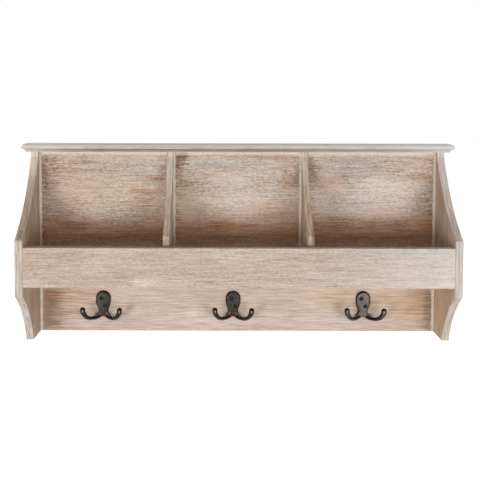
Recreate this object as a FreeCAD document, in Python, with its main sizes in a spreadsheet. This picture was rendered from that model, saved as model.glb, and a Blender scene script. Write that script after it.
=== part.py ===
import FreeCAD, Part
import Sketcher
import math
import operator
import os
from types import SimpleNamespace

from FreeCAD import Placement, Rotation, Vector

# Wall storage rack in lime-washed wood, in millimetres, hung on two wall screws.
# X runs left to right along the wall, the wall is the plane Y = 0 and the room is at -Y, +Z is up.
# The origin lies midway between the round entries of the two keyhole hangers, on the wall.
# Heights named below are counted from the feet of the side panels.

os.makedirs("parts", exist_ok=True)

# Driving sizes, each written once: name, value, what it is
SIZES = [
    ("rack_length", 640, "top board, end to end"),
    ("rack_depth", 130, "wall to the front edges of the side panels"),
    ("overrun", 5, "how far a cutting tool runs past the wood"),
    ("glue_clearance", 0.05, "radial room round a dowel, screw or nail"),
    ("end_clearance", 0.3, "room past the end of a dowel, screw or nail"),
    ("board_ease", 1, "radius on the long worked edges of the boards"),
    ("corner_ease", 2.5, "radius where two stretches of a shaped edge meet"),
    # Side panels
    ("side_thickness", 11, "side panel"),
    ("side_height", 272.5, "foot to the underside of the top board"),
    ("side_top_depth", 20, "side panel where it meets the top board"),
    ("side_foot_depth", 63.5, "side panel at its foot"),
    ("upper_corner_rise", 10.1, "where the upper curve leaves the front edge, above the rail"),
    ("upper_curve_hollow", 10.4, "depth of the upper curve below its chord"),
    ("upper_land", 8, "upright stretch under the top board"),
    ("lower_corner_height", 78, "where the lower curve leaves the front edge"),
    ("lower_curve_hollow", 7.3, "depth of the lower curve below its chord"),
    ("lower_land", 6, "upright stretch above the foot"),
    # Top board and its moulded edge
    ("top_thickness", 12, "top board"),
    ("top_overhang", 12, "top board past the side panels, in front and at both ends"),
    ("crown_width", 7.5, "rounded upper edge, across"),
    ("crown_drop", 4, "rounded upper edge, downwards"),
    ("crown_bulge", 1.6, "rise of the rounded edge above its chord"),
    ("nose_height", 3, "upright nose of the moulding"),
    ("cove_width", 6, "hollow lower edge, across"),
    ("cove_hollow", 1.3, "depth of the hollow behind its chord"),
    # Back panel, front rail, shelf and dividers
    ("back_thickness", 12, "back panel"),
    ("rail_thickness", 12, "front rail"),
    ("rail_setback", 0.5, "front rail behind the front edges of the side panels"),
    ("rail_rise", 13, "underside of the front rail above the side panels' lower corner"),
    ("rail_height", 55.6, "front rail"),
    ("shelf_thickness", 10, "bottom shelf, flush with the underside of the rail"),
    ("divider_thickness", 9, "divider"),
    ("divider_setback", 5, "front curve of a divider behind that of a side panel"),
    # Dowels, pins and nails
    ("dowel_diameter", 6, "wooden dowel"),
    ("dowel_length", 20, "wooden dowel"),
    ("dowel_bite", 8, "part of a dowel in the face of a board"),
    ("pin_diameter", 4, "thin dowel under a divider"),
    ("pin_length", 18, "thin dowel under a divider"),
    ("pin_bite", 6, "part of a thin dowel in the shelf"),
    ("back_dowel_low", 30, "lowest dowel between a side panel and the back panel, above the foot"),
    ("back_dowel_high", 72.5, "highest of those dowels, below the top board"),
    ("back_top_inset", 147, "outer dowels from the back panel to the top board, from its ends"),
    ("shelf_dowel_inset", 30, "shelf dowels from the ends of the side joint"),
    ("rail_dowel_inset", 13, "rail dowels from the long edges of the rail"),
    ("shelf_end_inset", 57, "outer rail dowels and outer nails of the shelf, from its ends"),
    ("pin_inset", 28, "divider pins from the front and back of the shelf"),
    ("nail_diameter", 1.6, "panel nail"),
    ("nail_length", 28, "panel nail"),
    ("nail_head_diameter", 3.2, "panel nail"),
    ("nail_head_height", 1, "panel nail"),
    ("divider_nail_low", 30, "lowest divider nail above the shelf"),
    ("divider_nail_high", 41.5, "highest divider nail below the top board"),
    # Coat hooks
    ("hook_end_inset", 100.8, "outer hooks from the side panels, were the row in the middle"),
    ("hook_row_shift", 5.8, "hook row to the left of the middle"),
    ("hook_height", 50.8, "middle of the round head of a hook plate"),
    ("plate_radius", 11, "round head of a hook plate"),
    ("plate_shoulder", 5, "straight flanks below the round head"),
    ("plate_taper", 14.5, "height of the taper from the flanks to the neck"),
    ("plate_neck_width", 13.8, "neck of a hook plate"),
    ("plate_taper_bow", 0.55, "bow of the two halves of the taper"),
    ("plate_thickness", 4, "hook plate"),
    ("plate_ease", 1.4, "round on the front edge of a hook plate"),
    ("arm_diameter", 5.2, "prong of a hook"),
    ("arm_root_drop", 6.4, "root of a prong below the start of the neck"),
    ("arm_fall", 2.2, "lowest middle point of a prong below its root"),
    ("arm_bend_radius", 14.5, "upward bend of a prong"),
    ("arm_upright", 0.8, "straight end of a prong below the middle of its tip"),
    ("tip_spread", 55.8, "between the tips of a hook"),
    ("tip_reach", 27, "middle of a tip in front of the back panel"),
    ("tip_diameter", 7.4, "round tip of a prong"),
    # Hook screws
    ("hook_screw_left", 2.7, "upper screw to the left of the plate's middle"),
    ("hook_screw_right", 3.4, "lower screw to the right of the plate's middle"),
    ("hook_screw_drop", 11.4, "lower screw below the upper one"),
    ("hook_screw_length", 12, "screw, head included"),
    ("hook_screw_diameter", 2.6, "screw shank"),
    ("hook_screw_head", 5.4, "countersunk head"),
    ("screw_tip", 2.2, "point of a screw"),
    ("screw_recess_width", 0.9, "arm of the cross in a screw head"),
    ("screw_recess_length", 3, "cross in a screw head"),
    ("screw_recess_depth", 0.9, "cross in a screw head"),
    # Keyhole hangers in the back panel
    ("hanger_pitch", 406.4, "between the hangers, a usual stud spacing"),
    ("hanger_drop", 40.5, "round entries of the keyholes below the top board"),
    ("hanger_width", 16, "hanger plate"),
    ("hanger_rise", 24, "hanger plate above the middle of the entry"),
    ("hanger_fall", 16, "hanger plate below the middle of the entry"),
    ("hanger_thickness", 1.6, "hanger plate, flush with the wood"),
    ("hanger_fit", 0.2, "room round a hanger plate in its recess"),
    ("entry_diameter", 9, "round entry for a screw head"),
    ("slot_width", 4.6, "neck of the keyhole"),
    ("slot_rise", 11, "end of the neck above the middle of the entry"),
    ("head_room_depth", 6.5, "wood taken out behind the keyhole"),
    ("head_room_width", 10.5, "wood taken out behind the keyhole"),
    ("hanger_corner", 2, "round corners of a hanger plate"),
    ("hanger_screw_inset", 4.5, "hanger screws from the ends of the plate"),
    ("hanger_screw_length", 9, "screw, head included"),
    ("hanger_screw_diameter", 2.4, "screw shank"),
    ("hanger_screw_head", 4.8, "countersunk head"),
]

QUARTER_BOW_SHARE = 1 - math.sqrt(0.5)  # bow of a quarter circle as a share of its radius
PLANES = {"XY": "XY_Plane", "XZ": "XZ_Plane", "YZ": "YZ_Plane"}
CLOSE = 1e-4


def joined(sign, action):
    """An arithmetic method of Size that keeps the formula and its value together."""
    def method(self, other):
        other = as_size(other)
        return Size(f"({self.text} {sign} {other.text})", action(self.value, other.value))
    return method


class Size:
    """A length: its formula in terms of the sheet, and its value as a first guess for a sketch."""

    def __init__(self, text, value):
        self.text = text
        self.value = value

    __add__ = joined("+", operator.add)
    __sub__ = joined("-", operator.sub)
    __mul__ = joined("*", operator.mul)
    __truediv__ = joined("/", operator.truediv)

    def __neg__(self):
        return as_size(0) - self


def as_size(number):
    return number if isinstance(number, Size) else Size(str(number), number)


def slope_angle(rise, run):
    return Size(f"atan2({rise.text}; {run.text})", math.degrees(math.atan2(rise.value, run.value)))


def other_leg(longest, leg):
    """Third side of a right triangle."""
    text = f"sqrt({longest.text} ^ 2 - {leg.text} ^ 2)"
    return Size(text, math.sqrt(longest.value ** 2 - leg.value ** 2))


def diagonal(a, b):
    return Size(f"sqrt({a.text} ^ 2 + {b.text} ^ 2)", math.hypot(a.value, b.value))


def arc_radius(start, end, hollow):
    """Radius of the arc between two points whose middle lies at this distance from its chord."""
    across = end[0] - start[0]
    along = end[1] - start[1]
    return (across * across + along * along) / (hollow * 8) + hollow / 2


def fill_sheet(doc):
    sheet = doc.addObject("Spreadsheet::Sheet", "Sizes")
    for line, (name, value, meaning) in enumerate(SIZES, start=1):
        sheet.set(f"A{line}", name)
        sheet.set(f"B{line}", str(value))
        sheet.setAlias(f"B{line}", name)
        sheet.set(f"C{line}", meaning)
    doc.recompute()
    return SimpleNamespace(**{name: Size(f"Sizes.{name}", value) for name, value, _ in SIZES})


doc = FreeCAD.newDocument("wall_storage_rack")
s = fill_sheet(doc)

# Places that several pieces share
ZERO = as_size(0)
hanger_height = s.side_height - s.hanger_drop
BASE = -hanger_height
outer_half = s.rack_length / 2 - s.top_overhang
inner_half = outer_half - s.side_thickness
board_depth = s.side_top_depth + s.top_overhang
rail_front = -(s.rack_depth - s.rail_setback)
rail_back = rail_front + s.rail_thickness
rail_bottom = s.lower_corner_height + s.rail_rise
rail_top = rail_bottom + s.rail_height
back_front = -s.back_thickness
shelf_top = rail_bottom + s.shelf_thickness
shelf_middle = rail_bottom + s.shelf_thickness / 2
# The dividers part the inside into three cubbies of one width
divider_offset = inner_half / 3 + s.divider_thickness / 6
hook_pitch = inner_half - s.hook_end_inset
dowel_hole = s.dowel_diameter / 2 + s.glue_clearance
pin_hole = s.pin_diameter / 2 + s.glue_clearance
nail_hole = s.nail_diameter / 2 + s.glue_clearance
face_depth = s.dowel_bite + s.end_clearance
end_depth = s.dowel_length - s.dowel_bite + s.end_clearance
pin_end_depth = s.pin_length - s.pin_bite + s.end_clearance

# Where the dowels, pins and nails sit, as pairs of places in the plane they cross
def three_between(first, last):
    return [first, (first + last) / 2, last]


side_back_places = [
    (back_front / 2, height)
    for height in three_between(s.back_dowel_low, s.side_height - s.back_dowel_high)
]
side_shelf_places = [
    (rail_back + s.shelf_dowel_inset, shelf_middle),
    (back_front - s.shelf_dowel_inset, shelf_middle),
]
rail_middle = (rail_front + rail_back) / 2
side_rail_places = [
    (rail_middle, rail_bottom + s.rail_dowel_inset),
    (rail_middle, rail_top - s.rail_dowel_inset),
]
back_top_places = [((inner_half - s.back_top_inset) * turn, back_front / 2) for turn in (-1, 0, 1)]
# The shelf's rail dowels and nails: four in a row, all one step apart
shelf_places = [
    ((inner_half - s.shelf_end_inset) * turn / 3, shelf_middle) for turn in (-3, -1, 1, 3)
]
pin_depths = [rail_back + s.pin_inset, back_front - s.pin_inset]
divider_nail_heights = three_between(
    shelf_top + s.divider_nail_low, s.side_height - s.divider_nail_high
)

# The three hooks and the two hangers, by the names of their places
HOOK_TURNS = {"left": -1, "centre": 0, "right": 1}
SIDES = {"left": -1, "right": 1}
arm_root_height = -(s.plate_shoulder + s.plate_taper + s.arm_root_drop)
pin_places = [(divider_offset * turn, depth) for turn in SIDES.values() for depth in pin_depths]
divider_nail_places = [
    (divider_offset * turn, height) for turn in SIDES.values() for height in divider_nail_heights
]


def hook_across(turn):
    return hook_pitch * turn - s.hook_row_shift


def hook_screw_places(turn):
    across = hook_across(turn)
    return [
        (across - s.hook_screw_left, s.hook_height),
        (across + s.hook_screw_right, s.hook_height - s.hook_screw_drop),
    ]


def hanger_screw_places(turn):
    across = s.hanger_pitch * turn / 2
    return [
        (across, hanger_height + s.hanger_rise - s.hanger_screw_inset),
        (across, hanger_height - s.hanger_fall + s.hanger_screw_inset),
    ]


# Working with the document

def bind(thing, prop, size):
    thing.setExpression(prop, as_size(size).text)


def place(thing, x=ZERO, y=ZERO, z=ZERO):
    """Moves an object from its drawing place; heights are brought down to the origin's."""
    for axis, size in (("x", x), ("y", y), ("z", z)):
        bind(thing, f"Placement.Base.{axis}", size)


def new_body(name):
    body = doc.addObject("PartDesign::Body", name)
    body.Label = name
    return body


def new_sketch(body, name, plane, offset=ZERO):
    """A sketch on one of the body's own origin planes, moved along that plane's normal."""
    sketch = body.newObject("Sketcher::SketchObject", name)
    planes = body.Origin.OriginFeatures
    sketch.AttachmentSupport = [next(p for p in planes if p.Role == PLANES[plane])]
    sketch.MapMode = "FlatFace"
    bind(sketch, "AttachmentOffset.Base.z", offset)
    return sketch


def pin_point(sketch, item, end, point):
    """Holds one point of a sketch at named distances from the sketch's origin."""
    for kind, size in (("DistanceX", point[0]), ("DistanceY", point[1])):
        number = sketch.addConstraint(Sketcher.Constraint(kind, -1, 1, item, end, size.value))
        sketch.setExpression(f"Constraints[{number}]", size.text)


def flat(point):
    return Vector(point[0].value, point[1].value, 0)


def bulge_point(start, end, hollow):
    """Middle of an arc that bows to the left of its travel by this much, or to the right below zero."""
    middle = (start + end) / 2
    along = end - start
    return middle + Vector(-along.y, along.x, 0).normalize() * hollow


def draw_edges(sketch, points, bows, closed=True):
    """Edges from point to point; bows holds the bow of each edge that is an arc, by its number."""
    count = len(points) if closed else len(points) - 1
    ends = []
    for number in range(count):
        first = points[number]
        last = points[(number + 1) % len(points)]
        if number in bows:
            bow, side = bows[number]
            middle = bulge_point(flat(first), flat(last), bow.value * side)
            item = sketch.addGeometry(Part.Arc(flat(first), middle, flat(last)))
            forward = (sketch.getPoint(item, 1) - flat(first)).Length < CLOSE
            ends.append((item, 1, 2) if forward else (item, 2, 1))
        else:
            item = sketch.addGeometry(Part.LineSegment(flat(first), flat(last)))
            ends.append((item, 1, 2))
    for number, (item, start, _) in enumerate(ends):
        pin_point(sketch, item, start, points[number])
    for number, (item, _, end) in enumerate(ends):
        following = ends[(number + 1) % len(ends)]
        if closed or number + 1 < len(ends):
            sketch.addConstraint(
                Sketcher.Constraint("Coincident", item, end, following[0], following[1])
            )
        else:
            pin_point(sketch, item, end, points[-1])
    for number, (bow, _) in bows.items():
        radius = arc_radius(points[number], points[(number + 1) % len(points)], bow)
        held = sketch.addConstraint(Sketcher.Constraint("Radius", ends[number][0], radius.value))
        sketch.setExpression(f"Constraints[{held}]", radius.text)


def outline(body, name, plane, points, bows=None, offset=ZERO, closed=True):
    sketch = new_sketch(body, name, plane, offset)
    draw_edges(sketch, points, bows or {}, closed)
    doc.recompute()
    return sketch


def corners(x0, y0, x1, y1):
    return [(x0, y0), (x1, y0), (x1, y1), (x0, y1)]


def circles(body, name, plane, centres, radius, offset=ZERO):
    sketch = new_sketch(body, name, plane, offset)
    for centre in centres:
        item = sketch.addGeometry(Part.Circle(flat(centre), Vector(0, 0, 1), radius.value))
        pin_point(sketch, item, 3, centre)
        held = sketch.addConstraint(Sketcher.Constraint("Radius", item, radius.value))
        sketch.setExpression(f"Constraints[{held}]", radius.text)
    doc.recompute()
    return sketch


def pad(body, name, sketch, length, backwards=False):
    feature = body.newObject("PartDesign::Pad", name)
    feature.Profile = sketch
    bind(feature, "Length", length)
    feature.Reversed = backwards
    doc.recompute()
    return feature


def check_cut(body, before):
    if body.Shape.Volume >= before - CLOSE:
        raise ValueError(f"{body.Name}: {body.Tip.Name} cuts nothing")


def pocket(body, name, sketch, depth, along_normal=False):
    """Cuts against the sketch's normal, or along it; fails if nothing is cut."""
    before = body.Shape.Volume
    feature = body.newObject("PartDesign::Pocket", name)
    feature.Profile = sketch
    bind(feature, "Length", depth)
    feature.Reversed = along_normal
    doc.recompute()
    check_cut(body, before)
    return feature


def drill(body, name, plane, offset, centres, radius, depth, along_normal=False):
    sketch = circles(body, f"{name}_circles", plane, centres, radius, offset)
    return pocket(body, name, sketch, depth, along_normal)


def ease(body, name, radius, chosen):
    """Rounds the edges of the body so far that the test picks."""
    base = body.Tip
    picked = [f"Edge{n}" for n, edge in enumerate(base.Shape.Edges, start=1) if chosen(edge)]
    feature = body.newObject("PartDesign::Fillet", name)
    feature.Base = (base, picked)
    bind(feature, "Radius", radius)
    doc.recompute()
    return feature


def lies_at(edge, axis, size):
    """Whether both ends of an edge have this coordinate."""
    return all(abs(getattr(v.Point, axis) - size.value) < CLOSE for v in edge.Vertexes)


def ease_shaped_edges(body, thickness, rear, butted):
    """Rounds the corners of a shaped board, then both long edges of its outline, but no joint."""
    def free(edge):
        return not lies_at(edge, "y", rear) and not any(lies_at(edge, "z", z) for z in butted)

    def on_face(edge):
        return lies_at(edge, "x", ZERO) or lies_at(edge, "x", thickness)

    ease(body, f"{body.Name}_corners", s.corner_ease,
         lambda edge: free(edge) and not on_face(edge))
    ease(body, f"{body.Name}_eased", s.board_ease, lambda edge: free(edge) and on_face(edge))


def group(name, members):
    """Several solids of one kind in one named sub-part."""
    compound = doc.addObject("Part::Compound", name)
    compound.Label = name
    compound.Links = members
    place(compound, z=BASE)
    return compound


def rod(name, radius, length, x, y, z, direction):
    """A cylinder from a point, along the named direction."""
    turned = {
        "X": Rotation(Vector(0, 1, 0), 90),
        "Y": Rotation(Vector(1, 0, 0), -90),
        "-Y": Rotation(Vector(1, 0, 0), 90),
        "Z": Rotation(),
    }[direction]
    cylinder = doc.addObject("Part::Cylinder", name)
    cylinder.Placement = Placement(Vector(), turned)
    bind(cylinder, "Radius", radius)
    bind(cylinder, "Height", length)
    place(cylinder, x, y, z)
    return cylinder


# The wooden boards

def front_profile(setback):
    """The upper curve with the upright stretch above it, from the top board down to the front."""
    top_front = -(s.side_top_depth - setback)
    curve_front = -(s.rack_depth - setback)
    return [
        (top_front, s.side_height),
        (top_front, s.side_height - s.upper_land),
        (curve_front, rail_top + s.upper_corner_rise),
    ]


def make_side_panel(name, turn):
    body = new_body(name)
    front = -s.rack_depth
    points = [
        (ZERO, ZERO),
        (ZERO, s.side_height),
        *front_profile(ZERO),
        (front, s.lower_corner_height),
        (-s.side_foot_depth, s.lower_land),
        (-s.side_foot_depth, ZERO),
    ]
    bows = {3: (s.upper_curve_hollow, 1), 5: (s.lower_curve_hollow, 1)}
    profile = outline(body, f"{name}_profile", "YZ", points, bows)
    pad(body, f"{name}_board", profile, s.side_thickness)

    ease_shaped_edges(body, s.side_thickness, ZERO, [s.side_height])
    inner = s.side_thickness if turn < 0 else ZERO
    centres = side_back_places + side_shelf_places + side_rail_places
    drill(body, f"{name}_holes", "YZ", inner, centres, dowel_hole, face_depth, turn > 0)
    top_centre = [(s.side_thickness / 2, -s.side_top_depth / 2)]
    drill(body, f"{name}_top_hole", "XY", s.side_height, top_centre, dowel_hole, end_depth)
    across = -outer_half if turn < 0 else inner_half
    place(body, x=across, z=BASE)
    return body


def make_top_board():
    body = new_body("top_board")
    half = s.rack_length / 2
    upper = s.side_height + s.top_thickness
    blank = outline(body, "top_board_plan", "XY", corners(-half, -board_depth, half, ZERO),
                    offset=s.side_height)
    pad(body, "top_board_blank", blank, s.top_thickness)
    crown_low = upper - s.crown_drop
    nose_low = crown_low - s.nose_height
    outside = -half - s.overrun
    crown = [
        (-half, crown_low),
        (-half + s.crown_width, upper),
        (-half + s.crown_width, upper + s.overrun),
        (outside, upper + s.overrun),
        (outside, crown_low),
    ]
    cove = [
        (-half + s.cove_width, s.side_height),
        (-half, nose_low),
        (outside, nose_low),
        (outside, s.side_height - s.overrun),
        (-half + s.cove_width, s.side_height - s.overrun),
    ]
    route = [
        (-half, s.overrun),
        (-half, -board_depth),
        (half, -board_depth),
        (half, s.overrun),
    ]
    shapes = (("crown", crown, (s.crown_bulge, 1)), ("cove", cove, (s.cove_hollow, -1)))
    for name, points, bow in shapes:
        before = body.Shape.Volume
        path = outline(body, f"{name}_route", "XY", route, offset=upper, closed=False)
        profile = outline(body, f"{name}_profile", "XZ", points, {0: bow}, -s.overrun)
        sweep = body.newObject("PartDesign::SubtractivePipe", f"{name}_moulding")
        sweep.Profile = profile
        sweep.Spine = (path, [])
        sweep.Transition = "Right corner"
        doc.recompute()
        check_cut(body, before)
    side_middle = inner_half + s.side_thickness / 2
    side_centres = [(side_middle * turn, -s.side_top_depth / 2) for turn in (-1, 1)]
    drill(body, "top_board_holes", "XY", s.side_height, side_centres + back_top_places,
          dowel_hole, face_depth, True)
    place(body, z=BASE)
    return body


def make_back_panel():
    body = new_body("back_panel")
    face = outline(body, "back_panel_face", "XZ", corners(-inner_half, ZERO, inner_half,
                                                          s.side_height))
    pad(body, "back_panel_board", face, s.back_thickness)

    def worked(edge):
        return lies_at(edge, "z", ZERO) and lies_at(edge, "y", back_front)

    ease(body, "back_panel_eased", s.board_ease, worked)
    for side, turn in SIDES.items():
        drill(body, f"back_panel_{side}_dowel_holes", "YZ", inner_half * turn, side_back_places,
              dowel_hole, end_depth, turn < 0)
    drill(body, "back_panel_top_holes", "XY", s.side_height, back_top_places,
          dowel_hole, end_depth)
    hook_holes = [p for turn in HOOK_TURNS.values() for p in hook_screw_places(turn)]
    reach = s.hook_screw_length - s.plate_thickness + s.end_clearance
    drill(body, "back_panel_hook_holes", "XZ", s.back_thickness, hook_holes,
          s.hook_screw_diameter / 2 + s.glue_clearance, reach)
    nails = shelf_places + divider_nail_places
    drill(body, "back_panel_nail_holes", "XZ", ZERO, nails, nail_hole, s.back_thickness, True)
    drill(body, "back_panel_nail_heads", "XZ", ZERO, nails,
          s.nail_head_diameter / 2 + s.glue_clearance, s.nail_head_height, True)
    for side, turn in SIDES.items():
        cut_hanger_recess(body, side, turn)
    place(body, z=BASE)
    return body


def cut_hanger_recess(body, side, turn):
    across = s.hanger_pitch * turn / 2
    half = s.hanger_width / 2 + s.hanger_fit
    low = hanger_height - s.hanger_fall - s.hanger_fit
    high = hanger_height + s.hanger_rise + s.hanger_fit
    seat = outline(body, f"recess_{side}_plan", "XZ", corners(across - half, low,
                                                              across + half, high))
    pocket(body, f"recess_{side}", seat, s.hanger_thickness, True)
    room = s.head_room_width / 2
    slot_top = hanger_height + s.slot_rise
    space = corners(across - room, hanger_height - room, across + room, slot_top)
    plan = outline(body, f"head_room_{side}_plan", "XZ", space)
    pocket(body, f"head_room_{side}", plan, s.head_room_depth, True)
    reach = s.hanger_screw_length + s.end_clearance
    drill(body, f"recess_{side}_screw_holes", "XZ", ZERO, hanger_screw_places(turn),
          s.hanger_screw_diameter / 2 + s.glue_clearance, reach, True)


def make_front_rail():
    body = new_body("front_rail")
    face = outline(body, "front_rail_face", "XZ", corners(-inner_half, rail_bottom,
                                                          inner_half, rail_top),
                   offset=-rail_back)
    pad(body, "front_rail_board", face, s.rail_thickness)

    def worked(edge):
        level = lies_at(edge, "z", rail_bottom) or lies_at(edge, "z", rail_top)
        return level and lies_at(edge, "y", rail_front)

    ease(body, "front_rail_eased", s.board_ease, worked)
    for side, turn in SIDES.items():
        drill(body, f"front_rail_{side}_holes", "YZ", inner_half * turn, side_rail_places,
              dowel_hole, end_depth, turn < 0)
    drill(body, "front_rail_shelf_holes", "XZ", -rail_back, shelf_places,
          dowel_hole, face_depth, True)
    place(body, z=BASE)
    return body


def make_bottom_shelf():
    body = new_body("bottom_shelf")
    plan = outline(body, "bottom_shelf_plan", "XY", corners(-inner_half, rail_back, inner_half,
                                                            back_front),
                   offset=rail_bottom)
    pad(body, "bottom_shelf_board", plan, s.shelf_thickness)
    for side, turn in SIDES.items():
        drill(body, f"bottom_shelf_{side}_holes", "YZ", inner_half * turn, side_shelf_places,
              dowel_hole, end_depth, turn < 0)
    drill(body, "bottom_shelf_rail_holes", "XZ", -rail_back, shelf_places,
          dowel_hole, end_depth)
    drill(body, "bottom_shelf_nail_holes", "XZ", -back_front, shelf_places, nail_hole,
          s.nail_length - s.back_thickness + s.end_clearance, True)
    drill(body, "bottom_shelf_pin_holes", "XY", shelf_top, pin_places, pin_hole,
          s.pin_bite + s.end_clearance)
    place(body, z=BASE)
    return body


def make_divider(name, turn):
    body = new_body(name)
    curve_front = -(s.rack_depth - s.divider_setback)
    points = [
        (back_front, shelf_top),
        (back_front, s.side_height),
        *front_profile(s.divider_setback),
        (curve_front, shelf_top),
    ]
    profile = outline(body, f"{name}_profile", "YZ", points, {3: (s.upper_curve_hollow, 1)})
    pad(body, f"{name}_board", profile, s.divider_thickness)
    waste = outline(body, f"{name}_waste", "YZ", corners(-s.rack_depth, shelf_top - s.overrun,
                                                         rail_back, s.side_height),
                    offset=-s.overrun)
    pocket(body, f"{name}_trimmed", waste, s.divider_thickness + s.overrun * 2, True)

    ease_shaped_edges(body, s.divider_thickness, back_front, [s.side_height, shelf_top])
    middle = s.divider_thickness / 2
    drill(body, f"{name}_pin_holes", "XY", shelf_top, [(middle, depth) for depth in pin_depths],
          pin_hole, pin_end_depth, True)
    drill(body, f"{name}_nail_holes", "XZ", -back_front,
          [(middle, height) for height in divider_nail_heights], nail_hole,
          s.nail_length - s.back_thickness + s.end_clearance, True)
    place(body, x=divider_offset * turn - middle, z=BASE)
    return body


# The coat hooks

def hook_plate_points():
    """Outline of a hook plate round the middle of its head, clockwise from the left flank."""
    radius = s.plate_radius
    neck = s.plate_neck_width / 2
    waist = (radius + neck) / 2
    waist_height = -(s.plate_shoulder + s.plate_taper / 2)
    neck_height = -(s.plate_shoulder + s.plate_taper)
    bottom = arm_root_height - s.arm_diameter / 2
    return [
        (-radius, ZERO),
        (ZERO, radius),
        (radius, ZERO),
        (radius, -s.plate_shoulder),
        (waist, waist_height),
        (neck, neck_height),
        (neck, bottom),
        (-neck, bottom),
        (-neck, neck_height),
        (-waist, waist_height),
        (-radius, -s.plate_shoulder),
    ]


def arm_points(reach):
    """Middle line of a prong in its own upright plane: nearly level outwards, then up."""
    low = arm_root_height - s.arm_fall
    bend_top = low + s.arm_bend_radius
    return [
        (ZERO, arm_root_height),
        (reach - s.arm_bend_radius, low),
        (reach, bend_top),
        (reach, bend_top + s.arm_upright),
    ]


def arm_bows(points):
    """Bows of the two arcs of the middle line, which meet level with each other."""
    run = points[1][0]
    fall = points[0][1] - points[1][1]
    half_chord = diagonal(run, fall) / 2
    radius = half_chord * half_chord * 2 / fall
    return {
        0: (radius - other_leg(radius, half_chord), -1),
        1: (s.arm_bend_radius * QUARTER_BOW_SHARE, -1),
    }


def splay_sketch(sketch, angle):
    """Turns a sketch about the upright axis, towards the room."""
    sketch.AttachmentOffset = Placement(sketch.AttachmentOffset.Base,
                                        Rotation(Vector(0, -1, 0), angle.value))
    sketch.setExpression("AttachmentOffset.Rotation.Angle", angle.text)


def add_prong(body, name, way):
    """One prong with its round tip, to the right of the plate or to the left."""
    middle = s.plate_thickness / 2
    across = s.tip_spread / 2 * way
    forward = s.tip_reach - middle
    angle = slope_angle(forward, across)
    points = arm_points(diagonal(across, forward))
    path = outline(body, f"{name}_arm_line", "XZ", points, arm_bows(points), middle, closed=False)
    splay_sketch(path, angle)
    section = circles(body, f"{name}_arm_section", "YZ", points[:1], s.arm_diameter / 2)
    bind(section, "AttachmentOffset.Base.x", -middle)
    splay_sketch(section, angle)
    doc.recompute()
    arm = body.newObject("PartDesign::AdditivePipe", f"{name}_arm")
    arm.Profile = section
    arm.Spine = (path, [])
    doc.recompute()
    tip = body.newObject("PartDesign::AdditiveSphere", f"{name}_tip")
    tip.AttachmentSupport = section.AttachmentSupport
    tip.MapMode = "FlatFace"
    bind(tip, "AttachmentOffset.Base.x", -s.tip_reach)
    bind(tip, "AttachmentOffset.Base.y", points[-1][1])
    bind(tip, "AttachmentOffset.Base.z", across)
    bind(tip, "Radius", s.tip_diameter / 2)
    doc.recompute()


def make_coat_hook(name, turn):
    """A cast hook: an upright plate with two prongs that run outwards and forwards, then up."""
    body = new_body(name)
    head_bow = s.plate_radius * QUARTER_BOW_SHARE
    bows = {
        0: (head_bow, 1),
        1: (head_bow, 1),
        3: (s.plate_taper_bow, 1),
        4: (s.plate_taper_bow, -1),
        8: (s.plate_taper_bow, -1),
        9: (s.plate_taper_bow, 1),
    }
    face = outline(body, f"{name}_face", "XZ", hook_plate_points(), bows)
    pad(body, f"{name}_plate", face, s.plate_thickness)
    ease(body, f"{name}_eased", s.plate_ease,
         lambda edge: lies_at(edge, "y", -s.plate_thickness))
    for arm_side, way in SIDES.items():
        add_prong(body, f"{name}_{arm_side}", way)
    screws = [(-s.hook_screw_left, ZERO), (s.hook_screw_right, -s.hook_screw_drop)]
    countersink(body, s.plate_thickness, -s.plate_thickness, screws,
                s.hook_screw_diameter, s.hook_screw_head)
    place(body, x=hook_across(turn), y=back_front, z=BASE + s.hook_height)
    return body


def countersink(body, thickness, face, centres, shank, head):
    """Screw holes through a plate, widened where they meet the face at this Y."""
    radius = shank / 2 + s.glue_clearance
    drill(body, f"{body.Name}_screw_holes", "XZ", -s.overrun, centres, radius,
          thickness + s.overrun * 2, True)

    def rim(edge):
        full_turn = abs(edge.Length - 2 * math.pi * radius.value) < CLOSE
        return full_turn and lies_at(edge, "y", face)

    base = body.Tip
    before = body.Shape.Volume
    picked = [f"Edge{n}" for n, edge in enumerate(base.Shape.Edges, start=1) if rim(edge)]
    sink = body.newObject("PartDesign::Chamfer", f"{body.Name}_countersinks")
    sink.Base = (base, picked)
    bind(sink, "Size", (head - shank) / 2)
    doc.recompute()
    check_cut(body, before)


# The keyhole hangers

def make_keyhole_hanger(name, turn):
    """A flat steel plate with a round entry and a narrow neck above it, let into the back panel."""
    body = new_body(name)
    half = s.hanger_width / 2
    plan = outline(body, f"{name}_plan", "XZ", corners(-half, -s.hanger_fall, half, s.hanger_rise))
    pad(body, f"{name}_plate", plan, s.hanger_thickness)
    ease(body, f"{name}_corners", s.hanger_corner,
         lambda edge: not lies_at(edge, "y", ZERO) and not lies_at(edge, "y", -s.hanger_thickness))
    centre = (ZERO, ZERO)
    drill(body, f"{name}_entry", "XZ", ZERO, [centre], s.entry_diameter / 2,
          s.hanger_thickness, True)
    neck = s.slot_width / 2
    shoulder = s.slot_rise - neck
    points = [
        (-neck, ZERO),
        (-neck, shoulder),
        (ZERO, s.slot_rise),
        (neck, shoulder),
        (neck, ZERO),
    ]
    bow = (neck * QUARTER_BOW_SHARE, 1)
    slot = outline(body, f"{name}_neck_plan", "XZ", points, {1: bow, 2: bow})
    pocket(body, f"{name}_neck", slot, s.hanger_thickness, True)
    screws = [
        (ZERO, s.hanger_rise - s.hanger_screw_inset),
        (ZERO, -(s.hanger_fall - s.hanger_screw_inset)),
    ]
    countersink(body, s.hanger_thickness, ZERO, screws,
                s.hanger_screw_diameter, s.hanger_screw_head)
    place(body, x=s.hanger_pitch * turn / 2)
    return body


# Screws, nails and dowels

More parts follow.
